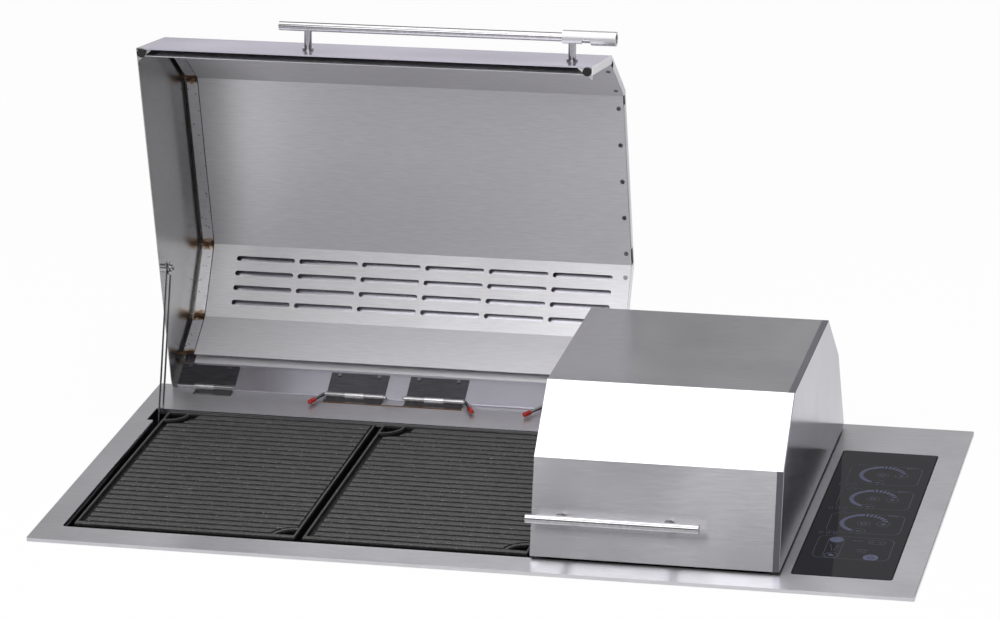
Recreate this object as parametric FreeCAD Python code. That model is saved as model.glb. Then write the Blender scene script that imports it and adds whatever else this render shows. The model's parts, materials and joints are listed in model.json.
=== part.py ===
import FreeCAD, Part
import math
import os

# Built-in electric grill: three grates under two hinged lids, touch panel at the right.
# +X right, +Y back, +Z up. The origin is on the worktop, under the middle of the trim's
# front run. Distances "from the front" are measured back from the trim's front edge.

SHEET = 1.2
TRIM_H = 5.0
FRONT_Y = -9.0
TOP_Z = TRIM_H
LIP_DEPTH = 8.0
GASKET_H = 2.6
GASKET_W = 14.0
CORNER_R = 5.0
FAR = 900.0

# The opening is as wide as the grates in it, and the trim follows the openings.
MODULES = 3
GRATE_W = 312.0
GRATE_D = 437.0
GRATE_GAP = 11.0
GRATE_SIDE_MARGIN = 10.5
GRATE_FRONT_MARGIN = 19.5
GRATE_BACK_MARGIN = 4.0
MODULE_PITCH = GRATE_W + GRATE_GAP
COOK_W = MODULES * MODULE_PITCH - GRATE_GAP + 2 * GRATE_SIDE_MARGIN
COOK_D = GRATE_FRONT_MARGIN + GRATE_D + GRATE_BACK_MARGIN

TRIM_LEFT_RUN = 35.5
TRIM_FRONT_RUN = 48.5
TRIM_BACK_RUN = 103.0
TRIM_RIGHT_RUN = 36.5
PANEL_SPACING = 24.0
PANEL_W = 135.0
PANEL_SETBACK = 4.0
TRIM_W = TRIM_LEFT_RUN + COOK_W + PANEL_SPACING + PANEL_W + TRIM_RIGHT_RUN
TRIM_D = TRIM_FRONT_RUN + COOK_D + TRIM_BACK_RUN
BACK_Y = FRONT_Y + TRIM_D

COOK_LEFT = TRIM_LEFT_RUN - TRIM_W / 2
COOK_RIGHT = COOK_LEFT + COOK_W
COOK_FRONT = FRONT_Y + TRIM_FRONT_RUN
COOK_BACK = COOK_FRONT + COOK_D
NOTCH_W = 9.5
NOTCH_LEN = 47.0
PANEL_LEFT = COOK_RIGHT + PANEL_SPACING
PANEL_RIGHT = PANEL_LEFT + PANEL_W
PANEL_FRONT = COOK_FRONT + PANEL_SETBACK
PANEL_BACK = COOK_BACK

TUB_LEFT = COOK_LEFT - 11.5
TUB_RIGHT = COOK_RIGHT + 11.5
TUB_FRONT = COOK_FRONT - 4.0
TUB_BACK = COOK_BACK + 9.0
TUB_FLOOR = -120.8
FLANGE_W = 15.0
BAY_FLOOR = -60.0
BAY_LEFT = PANEL_LEFT - 4.0
BAY_RIGHT = PANEL_RIGHT + 4.0
BAY_FRONT = PANEL_FRONT - 3.0
BAY_BACK = PANEL_BACK + 3.0
GLASS_T = 4.0
GLASS_GAP = 1.8
LEDGE_W = 10.0
CLAMP_INSET = 139.5
CLAMP_W = 28.0
CLAMP_REACH = 34.0
CLAMP_Z = TOP_Z - 47.0
SCREW_OUT = 22.0
PAD_Z = -30.0

GRATE_FRONT = COOK_FRONT + GRATE_FRONT_MARGIN
GRATE_BACK = GRATE_FRONT + GRATE_D
GRATE_TOP = TOP_Z - 2.0
GRATE_SKIRT = 15.0
RIM_W = 3.0
MOAT_LEFT = 9.5
MOAT_RIGHT = 2.5
MOAT_BACK = 5.0
GROOVES = 25
GROOVE_W = 6.6
GROOVE_SIDE = 1.2
FIRST_GROOVE = 11.5
LAST_GROOVE = 24.3
RIB_H = 6.0
PLATE_T = 6.0
DRAIN_R = 27.0
CURB_W = 4.0
CLEAR_FRONT_R = 35.0
CLEAR_BACK_R = 47.0

LID_LAP = 11.0
LID_SPLIT_GAP = 3.0
LID_LEFT = COOK_LEFT - LID_LAP
LID_RIGHT = COOK_RIGHT + LID_LAP
LID_SPLIT = COOK_LEFT + COOK_W * 2 / 3
LARGE_X = (LID_LEFT, LID_SPLIT - LID_SPLIT_GAP / 2)
SMALL_X = (LID_SPLIT + LID_SPLIT_GAP / 2, LID_RIGHT)
OPEN_DEG = 81.4
END_BAND = 9.2
HEM_H = 10.0
REAR_HEM_H = 4.0
REAR_HEM_T = 1.8

BARREL_R = 4.5
PIN_R = 2.5
PIN_FIT = 0.05
HINGE_BEHIND = 82.2
HINGE_UP = 6.2
HINGE_Y = COOK_BACK + HINGE_BEHIND
HINGE_Z = TOP_Z + HINGE_UP
HINGE_LEN = 88.0
KNUCKLE_GAP = 0.3
LEAF_T = 1.5
LEAF_H = 44.0
# Hinges sit at insets from the lids' ends, and two at shares of the large lid's width.
END_HINGES_LARGE = (51.0, 56.0)
END_HINGES_SMALL = (67.0, 65.5)
SHARE_2 = 0.4222
SHARE_3 = 0.60347
HINGES_LARGE = (LID_LEFT + END_HINGES_LARGE[0], LID_LEFT + SHARE_2 * (LARGE_X[1] - LID_LEFT),
                LID_LEFT + SHARE_3 * (LARGE_X[1] - LID_LEFT), LID_SPLIT - END_HINGES_LARGE[1])
HINGES_SMALL = (LID_SPLIT + END_HINGES_SMALL[0], LID_RIGHT - END_HINGES_SMALL[1])
LEAF_SCREWS = (-31.0, 29.0)
LEAF_SCREW_DOWN = 4.5

# Side profile of both lids when shut: outside corners from the front foot to the rear knee.
FOOT_LAP = 4.5
FOOT_UP = 4.5
FRONT_LEAN = 35.5
FRONT_H = 130.5
ROOF_START = 124.5
ROOF_FRONT_H = 208.3
ROOF_END = 51.0
ROOF_BACK_H = 211.3
KNEE_BEHIND = 37.3
KNEE_H = 129.6
FRONT_FOOT = (COOK_FRONT - FOOT_LAP, TOP_Z + FOOT_UP)
FRONT_TOP = (COOK_FRONT + FRONT_LEAN, TOP_Z + FRONT_H)
ROOF_FRONT = (COOK_FRONT + ROOF_START, TOP_Z + ROOF_FRONT_H)
ROOF_BACK = (COOK_BACK - ROOF_END, TOP_Z + ROOF_BACK_H)
REAR_KNEE = (COOK_BACK + KNEE_BEHIND, TOP_Z + KNEE_H)
LINER_GAP = 12.0
LINER_T = 1.0
LINER_STOP = 76.0
LINER_WALL = 60.0
LINER_FLANGE = 83.0
STRIP_GAP = 4.5
STRIP_W = 16.0
STRIP_SEAM = 1.2
LINER_INSET = SHEET + STRIP_GAP + STRIP_W + STRIP_SEAM
BUMPER_R = 6.2
BRACKET = (21.0, 18.0)

SLOT_L = 90.0
SLOT_BRIDGE = 6.8
SLOT_PITCH = SLOT_L + SLOT_BRIDGE
SLOT_ROW = 22.7
SLOT_H = 7.5
SLOT_ROWS = 4
SLOT_FIRST = 25.6
SLOT_SHIFT = 5.8
SLOT_MARGIN = 20.0

BAR_R = 6.35
BAR_STANDOFF = 33.2
BAR_UP_FRONT = 52.4
POST_R = 5.5
POST_INSET = 42.0
SLEEVE_R = 10.2
SLEEVE_L = 76.0
SLEEVE_TRAVEL = 21.5
SLEEVE_LAP = 53.5
NOTCH_R = 6.5
NOTCH_TURN = 51.0
LARGE_BAR_INSET = 196.5
SMALL_BAR_INSET = 103.5
BAR_END_GAP = 0.5
LARGE_BAR = (LID_LEFT + LARGE_BAR_INSET, LARGE_X[1] - BAR_END_GAP)
SMALL_BAR = (SMALL_X[0] - BAR_END_GAP, LID_RIGHT - SMALL_BAR_INSET)
LARGE_POSTS = (LARGE_BAR[0] + POST_INSET, LARGE_BAR[1] - POST_INSET + 2.0)
SMALL_POSTS = (SMALL_BAR[0] + POST_INSET - 0.5, SMALL_BAR[1] - POST_INSET - 3.5)
SLEEVE_X = (LARGE_X[1] - SLEEVE_LAP, LARGE_X[1] - SLEEVE_LAP + SLEEVE_L)

STAY_T = 2.0
STAY_W = 22.0
STAY_SLOT_W = 16.0
STAY_SLOT_START = 124.0
STUD_IN = 111.0
STUD_UP = 10.0
PIVOT_IN = 55.0
PIVOT_DOWN = 112.0
STAY_STUD = (COOK_BACK - STUD_IN, TOP_Z + STUD_UP)
STAY_PIVOT = (COOK_BACK - PIVOT_IN, TOP_Z - PIVOT_DOWN)
STAY_CLEAR = 1.1
STUD_R = 3.0
STUD_WASHER_R = 9.6

PULL_OUT = 3.0
PULL_FORWARD = 31.0
CAP_R = 3.6
CAP_L = 11.0
HEAD_OUT = 2.0
# Each pulled pin: its hinge, the side its handle is on, and how far out the handle points.
PULLS = ((HINGES_LARGE[1], -1, 13.0), (HINGES_LARGE[2], 1, 18.0), (HINGES_LARGE[3], -1, 19.0))

RAIL_T = 1.6
RAIL_LEDGE = 12.0
RAIL_INNER = GRATE_W / 2 - RAIL_T
LEDGE_Z = -61.0
TRAY_T = 1.2
TRAY_DEPTH = 30.0
TRAY_RIM_Z = LEDGE_Z + TRAY_T
TRAY_RIM_W = 12.0
FOOT_T = 2.0
FOOT_CLEAR = 0.4
ELEMENT_Z = -34.0
ELEMENT_INSET = 46.0
RUNS = 4
RUN_PITCH = (GRATE_W - 2 * ELEMENT_INSET) / (RUNS - 1)
ELEMENT_FRONT = GRATE_FRONT + 70.0
ELEMENT_PLUG = GRATE_BACK - 3.0
ELEMENT_BACK = ELEMENT_PLUG - 44.0
TUBE_R = 4.0


def vec(x, y, z):
    return FreeCAD.Vector(x, y, z)


def box(x, y, z):
    return Part.makeBox(x[1] - x[0], y[1] - y[0], z[1] - z[0], vec(x[0], y[0], z[0]))


def rod(start, end, radius):
    axis = end - start
    return Part.makeCylinder(radius, axis.Length, start, axis)


def rod_x(x, y, z, radius):
    return rod(vec(x[0], y, z), vec(x[1], y, z), radius)


def rod_z(x, y, z, radius):
    return rod(vec(x, y, z[0]), vec(x, y, z[1]), radius)


def prism_x(outline, x):
    """A (y, z) outline pulled along X."""
    points = [vec(x[0], y, z) for y, z in outline]
    return Part.Face(Part.makePolygon(points + points[:1])).extrude(vec(x[1] - x[0], 0, 0))


def prism_y(outline, y):
    """An (x, z) outline pulled along Y."""
    points = [vec(x, y[0], z) for x, z in outline]
    return Part.Face(Part.makePolygon(points + points[:1])).extrude(vec(0, y[1] - y[0], 0))


def fuse(shapes):
    whole = shapes[0].multiFuse(shapes[1:]) if len(shapes) > 1 else shapes[0]
    return whole.removeSplitter()


def cut(shape, tools):
    return shape.cut(Part.makeCompound(tools))


def rounded_box(x, y, z, radius):
    block = box(x, y, z)
    upright = [e for e in block.Edges if abs(e.tangentAt(e.FirstParameter).z) > 0.99]
    return block.makeFillet(radius, upright)


def tray_shell(x, y, z, thickness):
    """An open-topped box of sheet, given by its inner faces."""
    t = thickness
    outer = box((x[0] - t, x[1] + t), (y[0] - t, y[1] + t), (z[0] - t, z[1]))
    return outer.cut(box(x, y, (z[0], z[1] + 1)))


def ring(x, y, z, width):
    inner = box((x[0] + width, x[1] - width), (y[0] + width, y[1] - width), (z[0] - 1, z[1] + 1))
    return box(x, y, z).cut(inner)


def grow(span, by):
    return (span[0] - by, span[1] + by)


def unit(a, b):
    dy, dz = b[0] - a[0], b[1] - a[1]
    length = math.hypot(dy, dz)
    return dy / length, dz / length


def along(a, b, distance, inward=0.0):
    """A point on the line from a to b, moved inward to the line's right."""
    dy, dz = unit(a, b)
    return a[0] + dy * distance + dz * inward, a[1] + dz * distance - dy * inward


def offset_chain(chain, inward):
    """The chain moved inward, its corners mitred."""
    moved = [along(chain[0], chain[1], 0, inward)]
    for a, b, c in zip(chain, chain[1:], chain[2:]):
        uy, uz = unit(a, b)
        vy, vz = unit(b, c)
        half = math.tan((math.atan2(vz, vy) - math.atan2(uz, uy)) / 2)
        moved.append((b[0] + inward * (uz + uy * half), b[1] - inward * (uy - uz * half)))
    end = math.hypot(chain[-1][0] - chain[-2][0], chain[-1][1] - chain[-2][1])
    moved.append(along(chain[-2], chain[-1], end, inward))
    return moved


def sheet_along(chain, near, far, x):
    """Sheet that follows the chain between two inward depths."""
    return prism_x(offset_chain(chain, near) + offset_chain(chain, far)[::-1], x)


def rear_foot():
    """Where the rear panel ends, level with the hinge barrel it touches."""
    dy, dz = REAR_KNEE[0] - HINGE_Y, REAR_KNEE[1] - HINGE_Z
    reach = BARREL_R + SHEET
    length = math.hypot(dy, dz)
    turn = math.atan2(dz, dy) - math.acos(reach / length)
    return HINGE_Y + reach * math.cos(turn), HINGE_Z + reach * math.sin(turn)


PROFILE = [FRONT_FOOT, FRONT_TOP, ROOF_FRONT, ROOF_BACK, REAR_KNEE, rear_foot()]
LINER_END = along(REAR_KNEE, rear_foot(), LINER_STOP)


def opened(shape):
    """The large lid's pieces stand open at rest."""
    turned = shape.copy()
    turned.rotate(vec(0, HINGE_Y, HINGE_Z), vec(1, 0, 0), -OPEN_DEG)
    return turned


def module_centre(index):
    return COOK_LEFT + GRATE_SIDE_MARGIN + GRATE_W / 2 + MODULE_PITCH * index


# Trim, tub and control bay

def top_trim_frame():
    x, y = (-TRIM_W / 2, TRIM_W / 2), (FRONT_Y, BACK_Y)
    plate = rounded_box(x, y, (0, TRIM_H), 3.0)
    hollow = rounded_box(grow(x, -SHEET), grow(y, -SHEET), (-FAR, TRIM_H - SHEET), 3.0 - SHEET)
    lips = box(grow((COOK_LEFT, COOK_RIGHT), SHEET), grow((COOK_FRONT, COOK_BACK), SHEET),
               (TRIM_H - LIP_DEPTH, TRIM_H))
    through = (-FAR, FAR)
    cook = rounded_box((COOK_LEFT, COOK_RIGHT), (COOK_FRONT, COOK_BACK), through, CORNER_R)
    panel = rounded_box((PANEL_LEFT, PANEL_RIGHT), (PANEL_FRONT, PANEL_BACK), through, CORNER_R)
    notches = box((COOK_LEFT - NOTCH_W, COOK_RIGHT + NOTCH_W), (COOK_BACK - NOTCH_LEN, COOK_BACK),
                  through)
    return cut(fuse([plate.cut(hollow), lips]), [cook, panel, notches])


def flange_gasket():
    x = grow((-TRIM_W / 2, TRIM_W / 2), -SHEET - 0.8)
    y = grow((FRONT_Y, BACK_Y), -SHEET - 0.8)
    return ring(x, y, (0, GASKET_H), GASKET_W)


def flanged_box(x, y, floor):
    """A sheet box hung from the underside of the trim by an outward flange."""
    top = TRIM_H - SHEET
    flange = box(grow(x, FLANGE_W), grow(y, FLANGE_W), (GASKET_H, top))
    flange = flange.cut(box(x, y, (0, TRIM_H)))
    return fuse([tray_shell(x, y, (floor, top), SHEET), flange])


def firebox_tub():
    tub = flanged_box((TUB_LEFT, TUB_RIGHT), (TUB_FRONT, TUB_BACK), TUB_FLOOR)
    flange_end = box((TUB_RIGHT + SHEET, FAR), (-FAR, FAR), (GASKET_H, TRIM_H))
    return tub.cut(flange_end)


def control_bay():
    x, y = (BAY_LEFT, BAY_RIGHT), (BAY_FRONT, BAY_BACK)
    bay = flanged_box(x, y, BAY_FLOOR)
    left_flange = box((COOK_RIGHT, BAY_LEFT - SHEET), (-FAR, FAR), (GASKET_H, TRIM_H))
    bay = bay.cut(left_flange)
    ledge = ring(x, y, (TRIM_H - GLASS_T - SHEET, TRIM_H - GLASS_T), LEDGE_W)
    posts = [rod_z(px, py, (BAY_FLOOR, BAY_FLOOR + 14), 4.0)
             for px in (BAY_LEFT + 22, BAY_RIGHT - 22) for py in (BAY_FRONT + 130, BAY_BACK - 60)]
    gland_hole = rod_z(PANEL_RIGHT - 40, PANEL_FRONT + 55, (BAY_FLOOR - 5, BAY_FLOOR + 5), 10.0)
    vents = [box((BAY_RIGHT - 1, BAY_RIGHT + 3), (BAY_BACK - 70 - 16 * i, BAY_BACK - 64 - 16 * i),
                 (BAY_FLOOR + 14, BAY_FLOOR + 44)) for i in range(12)]
    return cut(fuse([bay, ledge] + posts), [gland_hole] + vents)


def heat_shield():
    middle = (TUB_RIGHT + SHEET + BAY_LEFT - SHEET) / 2
    return box((middle - 0.5, middle + 0.5), (TUB_FRONT + 10, TUB_BACK - 10), (TUB_FLOOR, 2.0))


def control_glass():
    x, y = grow((PANEL_LEFT, PANEL_RIGHT), -GLASS_GAP), grow((PANEL_FRONT, PANEL_BACK), -GLASS_GAP)
    return rounded_box(x, y, (TOP_Z - GLASS_T, TOP_Z), CORNER_R - GLASS_GAP)


def touch_board():
    x, y = grow((PANEL_LEFT, PANEL_RIGHT), -14), grow((PANEL_FRONT, PANEL_BACK), -14)
    return box(x, y, (TOP_Z - GLASS_T - 1.6, TOP_Z - GLASS_T))


def power_board():
    x, y = (BAY_LEFT + 14, BAY_RIGHT - 14), (BAY_FRONT + 120, BAY_BACK - 50)
    return box(x, y, (BAY_FLOOR + 14, BAY_FLOOR + 15.6))


def power_relays():
    z = BAY_FLOOR + 15.6
    return [box((BAY_LEFT + 40, BAY_LEFT + 70), (BAY_FRONT + 170 + 50 * i, BAY_FRONT + 192 + 50 * i),
                (z, z + 17)) for i in range(MODULES)]


def terminal_block():
    x, y = (BAY_LEFT + 15, BAY_LEFT + 85), (BAY_FRONT + 80, BAY_FRONT + 104)
    block = box(x, y, (BAY_FLOOR, BAY_FLOOR + 22))
    holes = [rod_z(x[0] + 8 + 13.5 * i, (y[0] + y[1]) / 2, (BAY_FLOOR + 8, BAY_FLOOR + 30), 3.0)
             for i in range(5)]
    return cut(block, holes)


def cable_gland():
    x, y = PANEL_RIGHT - 40, PANEL_FRONT + 55
    low = BAY_FLOOR - SHEET
    body = fuse([rod_z(x, y, (low - 14, low), 14.0), rod_z(x, y, (low - 14, BAY_FLOOR + 8), 9.9),
                 rod_z(x, y, (BAY_FLOOR, BAY_FLOOR + 5), 13.0)])
    return body.cut(rod_z(x, y, (low - 20, BAY_FLOOR + 20), 6.5))


def mounting_clamps():
    clamps = []
    for x in (COOK_LEFT + CLAMP_INSET, COOK_RIGHT - CLAMP_INSET):
        for y, way in ((TUB_FRONT - SHEET, -1), (TUB_BACK + SHEET, 1)):
            width = grow((x, x), CLAMP_W / 2)
            upright = box(width, sorted((y, y + way * 2)), (CLAMP_Z - 38, CLAMP_Z))
            foot = box(width, sorted((y, y + way * CLAMP_REACH)), (CLAMP_Z - 2, CLAMP_Z))
            hole = rod_z(x, y + way * SCREW_OUT, (-FAR, FAR), 3.05)
            clamps.append(fuse([upright, foot]).cut(hole))
    return clamps


def clamp_screws():
    screws = []
    for x in (COOK_LEFT + CLAMP_INSET, COOK_RIGHT - CLAMP_INSET):
        for y in (TUB_FRONT - SHEET - SCREW_OUT, TUB_BACK + SHEET + SCREW_OUT):
            screws.append(fuse([rod_z(x, y, (PAD_Z - 30, PAD_Z), 3.0),
                                rod_z(x, y, (PAD_Z - 1.5, PAD_Z), 8.0),
                                rod_z(x, y, (PAD_Z - 34, PAD_Z - 28), 5.5)]))
    return screws


# Cooking modules

def module_rails():
    """Z-section rails along both sides of each module: the grate stands on top of them,
    the tray's rim on the ledge."""
    rails = []
    low, top, ledge = TUB_FLOOR, GRATE_TOP - GRATE_SKIRT, LEDGE_Z
    web, lip, foot = RAIL_T, RAIL_T + RAIL_LEDGE, RAIL_T + 6.0
    for i in range(MODULES):
        for side in (-1, 1):
            edge = module_centre(i) + side * GRATE_W / 2
            steps = [(0, low), (0, top), (web, top), (web, ledge), (lip, ledge),
                     (lip, ledge - SHEET), (web, ledge - SHEET), (web, low + SHEET),
                     (foot, low + SHEET), (foot, low)]
            outline = [(edge - side * dx, z) for dx, z in steps]
            rails.append(prism_y(outline, (GRATE_FRONT + 6, GRATE_BACK - 6)))
    return rails


def rib_comb(y, floor, top):
    """The (y, z) outline of the ribs, cut by evenly spaced grooves with sloping sides."""
    pitch = (GRATE_D - FIRST_GROOVE - LAST_GROOVE) / (GROOVES - 1)
    comb = [(y[0], floor - 1), (y[0], top)]
    for i in range(GROOVES):
        middle = GRATE_FRONT + FIRST_GROOVE + pitch * i
        half = GROOVE_W / 2
        comb += [(middle - half, top), (middle - half + GROOVE_SIDE, floor),
                 (middle + half - GROOVE_SIDE, floor), (middle + half, top)]
    return comb + [(y[1], top), (y[1], floor - 1)]


def grate(index):
    """A ribbed plate in a rim, with a curbed quarter-round drain at two corners."""
    cx, top = module_centre(index), GRATE_TOP
    x, y = grow((cx, cx), GRATE_W / 2), (GRATE_FRONT, GRATE_BACK)
    floor = top - RIB_H
    field_x = (x[0] + RIM_W + MOAT_LEFT, x[1] - RIM_W - MOAT_RIGHT)
    field_y = (y[0] + RIM_W - 0.5, y[1] - RIM_W - MOAT_BACK)
    ribs = prism_x(rib_comb(field_y, floor, top), field_x)
    front_corner, back_corner = (x[1] - RIM_W, y[0] + RIM_W), (x[0] + RIM_W, y[1] - RIM_W)
    land = FIRST_GROOVE - GROOVE_W / 2
    clear = [rod_z(*front_corner, (floor, top + 1), CLEAR_FRONT_R),
             rod_z(*back_corner, (floor, top + 1), CLEAR_BACK_R)]
    plate = box(x, y, (floor - PLATE_T, floor))
    rim = ring(x, y, (top - GRATE_SKIRT, top), RIM_W)
    front_land = box(x, (y[0], y[0] + land), (floor, top))
    inside = box(grow(x, -RIM_W), (y[0] + land, y[1] - RIM_W), (-FAR, FAR))
    corners = (front_corner, back_corner)
    curbs = [rod_z(*c, (floor, top), DRAIN_R + CURB_W).common(inside) for c in corners]
    drains = [rod_z(*c, (-FAR, FAR), DRAIN_R).common(inside) for c in corners]
    return cut(fuse([plate, cut(ribs, clear), rim, front_land] + curbs), drains)


def heating_element(index):
    """A sheathed tube folded into four runs, on two straps that stand on the rails' ledges."""
    cx, z = module_centre(index), ELEMENT_Z
    lanes = [cx + RUN_PITCH * (k - (RUNS - 1) / 2) for k in range(RUNS)]
    front, back, plug = ELEMENT_FRONT, ELEMENT_BACK, ELEMENT_PLUG
    bend = RUN_PITCH / 2
    edges = [Part.makeLine(vec(lanes[0], plug, z), vec(lanes[0], front, z))]
    for k in range(RUNS - 1):
        y, way = (front, -1) if k % 2 == 0 else (back, 1)
        middle = vec((lanes[k] + lanes[k + 1]) / 2, y + way * bend, z)
        edges.append(Part.Arc(vec(lanes[k], y, z), middle, vec(lanes[k + 1], y, z)).toShape())
        last = plug if k == RUNS - 2 else (back if k % 2 == 0 else front)
        edges.append(Part.makeLine(vec(lanes[k + 1], y, z), vec(lanes[k + 1], last, z)))
    start = Part.Wire(Part.makeCircle(TUBE_R, vec(lanes[0], plug, z), vec(0, -1, 0)))
    tube = Part.Wire(edges).makePipeShell([start], True, False, 1)
    blades = [box((lane - 3, lane + 3), (plug - 3, plug), (z - 28, z - 1))
              for lane in (lanes[0], lanes[-1])]
    low = z - TUBE_R
    span = grow((cx, cx), RAIL_INNER - FOOT_CLEAR)
    straps = []
    for y in (front + 20, back - 30):
        bar = box(span, (y, y + 14), (low - 1.6, low + 0.6))
        feet = [box(x, (y, y + 14), (LEDGE_Z, low))
                for x in ((span[0], span[0] + FOOT_T), (span[1] - FOOT_T, span[1]))]
        straps.append(fuse([bar] + feet))
    return fuse([tube] + blades + straps)


def drip_tray(index):
    cx = module_centre(index)
    y = (GRATE_FRONT + 14, ELEMENT_PLUG - 22)
    outer_x = grow((cx, cx), RAIL_INNER - FOOT_CLEAR - FOOT_T - 0.8)
    inner_x = grow(outer_x, -TRAY_RIM_W)
    inner_y = grow(y, -TRAY_RIM_W)
    pan = tray_shell(inner_x, inner_y, (TRAY_RIM_Z - TRAY_DEPTH, TRAY_RIM_Z), TRAY_T)
    rim = box(outer_x, y, (LEDGE_Z, TRAY_RIM_Z)).cut(box(inner_x, inner_y, (-FAR, FAR)))
    return fuse([pan, rim])


def element_sockets():
    sockets = []
    reach = RUN_PITCH * (RUNS - 1) / 2
    for i in range(MODULES):
        cx = module_centre(i)
        block = box(grow((cx, cx), reach + 12), (ELEMENT_PLUG - 12, TUB_BACK),
                    (ELEMENT_Z - 54, ELEMENT_Z - 12))
        slots = [box(grow((lane, lane), 3.4), (ELEMENT_PLUG - 3.4, ELEMENT_PLUG + 0.4),
                     (ELEMENT_Z - 32, ELEMENT_Z)) for lane in (cx - reach, cx + reach)]
        sockets.append(cut(block, slots))
    return sockets


def temperature_probes():
    probes = []
    for i in range(MODULES):
        x, z = module_centre(i) + RUN_PITCH, GRATE_TOP - 23
        wall, tip, collar = (vec(x, TUB_BACK - d, z) for d in (0, 36, 5))
        probes.append(fuse([rod(wall, tip, 2.5), rod(wall, collar, 6.0)]))
    return probes


# Hinges

def knuckle_spans(centre):
    third = HINGE_LEN / 3
    left = centre - HINGE_LEN / 2
    return [(left + third * k + KNUCKLE_GAP / 2, left + third * (k + 1) - KNUCKLE_GAP / 2)
            for k in range(3)]


def bored(shape, span):
    return shape.cut(rod_x(grow(span, 1), HINGE_Y, HINGE_Z, PIN_R + PIN_FIT))


def base_leaf(centre, outer):
    """Outer knuckles on uprights that stand on a strip fixed to the trim."""
    spans = knuckle_spans(centre)
    width = (min(spans[k][0] for k in outer + (1,)), spans[2][1])
    front = HINGE_Y - BARREL_R
    parts = [box(width, (front - 12, front - 0.4), (TOP_Z, TOP_Z + 1.0)),
             box(width, (front - 1.6, front - 0.4), (TOP_Z, TOP_Z + 3.6))]
    for span in (spans[k] for k in outer):
        parts.append(rod_x(span, HINGE_Y, HINGE_Z, BARREL_R))
        parts.append(box(span, (front, HINGE_Y), (TOP_Z, HINGE_Z)))
        parts.append(box(span, (front - 1, HINGE_Y), (TOP_Z, TOP_Z + 1.0)))
    return bored(fuse(parts), width)


def lid_leaf(centre):
    """The middle knuckle and the leaf screwed to the inside of the rear panel."""
    spans = knuckle_spans(centre)
    foot, knee = rear_foot(), REAR_KNEE
    quad = [along(foot, knee, d, -SHEET - depth)
            for d, depth in ((2.0, 0), (LEAF_H, 0), (LEAF_H, LEAF_T), (2.0, LEAF_T))]
    plate = prism_x(quad, (spans[0][0], spans[2][1]))
    swept = [rod_x(grow(span, KNUCKLE_GAP), HINGE_Y, HINGE_Z, BARREL_R + 0.5)
             for span in (spans[0], spans[2])]
    neck = prism_x([along(foot, knee, 0, -SHEET), along(foot, knee, 6, -SHEET),
                    along(foot, knee, 6, -SHEET - LEAF_T), along(foot, knee, 0, -SHEET - BARREL_R)],
                   spans[1])
    barrel = rod_x(spans[1], HINGE_Y, HINGE_Z, BARREL_R)
    return bored(fuse([cut(plate, swept), neck, barrel]), spans[1])


def plain_pin(centre, first):
    spans = knuckle_spans(centre)
    return rod_x((spans[first][0] + 0.4, spans[2][1] - 0.4), HINGE_Y, HINGE_Z, PIN_R)


def pull_points(centre, way, aside):
    end = centre + way * (HINGE_LEN / 2 + PULL_OUT)
    tip = vec(end + way * (aside - PULL_OUT), HINGE_Y - PULL_FORWARD, HINGE_Z)
    return vec(end, HINGE_Y, HINGE_Z), tip


def pull_pin(centre, way, aside):
    """A hinge pin bent at its outer end into a handle that points forward."""
    elbow, tip = pull_points(centre, way, aside)
    inner = vec(centre - way * (HINGE_LEN / 2 + HEAD_OUT), HINGE_Y, HINGE_Z)
    ends = [Part.makeSphere(PIN_R, end) for end in (inner, elbow)]
    return fuse([rod(inner, elbow, PIN_R), rod(elbow, tip, PIN_R)] + ends)


def pull_cap(centre, way, aside):
    elbow, tip = pull_points(centre, way, aside)
    back = (elbow - tip).normalize()
    start, end = tip + back * (CAP_L - 4), tip - back * 4
    cap = fuse([rod(start, end, CAP_R), Part.makeSphere(CAP_R, end)])
    return cap.cut(rod(start + back, tip, PIN_R))


# Stays

def stay_plane(side):
    """X span of a stay arm: side -1 at the left end of the opening, 1 at the right."""
    edge = COOK_LEFT if side < 0 else COOK_RIGHT
    return tuple(sorted((edge - side * STAY_CLEAR, edge - side * (STAY_CLEAR + STAY_T))))


def stud_at_rest(side):
    """The large lid's stud is up with its lid, the small lid's is down."""
    if side > 0:
        return STAY_STUD
    turn = math.radians(-OPEN_DEG)
    y, z = STAY_STUD[0] - HINGE_Y, STAY_STUD[1] - HINGE_Z
    return (HINGE_Y + y * math.cos(turn) - z * math.sin(turn),
            HINGE_Z + y * math.sin(turn) + z * math.cos(turn))


def stay_arm(side):
    """A slotted strip that turns on the tub and lets the lid's stud run along it."""
    up = stud_at_rest(-1)
    reach = math.hypot(up[0] - STAY_PIVOT[0], up[1] - STAY_PIVOT[1])
    slot_end = reach + 0.3 + STUD_R - STAY_SLOT_W / 2
    slot_start = STAY_SLOT_START + STAY_SLOT_W / 2
    x = stay_plane(side)

    def stadium(a, b, width, span):
        ends = [rod_x(span, d, 0, width / 2) for d in (a, b)]
        return fuse([box(span, (a, b), (-width / 2, width / 2))] + ends)

    arm = stadium(0, slot_end, STAY_W, x)
    arm = arm.cut(stadium(slot_start, slot_end, STAY_SLOT_W, grow(x, 1)))
    arm = arm.cut(rod_x(grow(x, 1), 0, 0, 4.0 + PIN_FIT))
    rest = stud_at_rest(side)
    lean = math.degrees(math.atan2(rest[1] - STAY_PIVOT[1], rest[0] - STAY_PIVOT[0]))
    arm.rotate(vec(0, 0, 0), vec(1, 0, 0), lean)
    arm.translate(vec(0, STAY_PIVOT[0], STAY_PIVOT[1]))
    return arm


def washer(side, near, far, radius, centre):
    """A disc on an axis along X, between two distances inward from the arm's far face."""
    plane = stay_plane(side)[1 if side < 0 else 0]
    x = sorted((plane - side * near, plane - side * far))
    return rod_x(x, centre[0], centre[1], radius)


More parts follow.
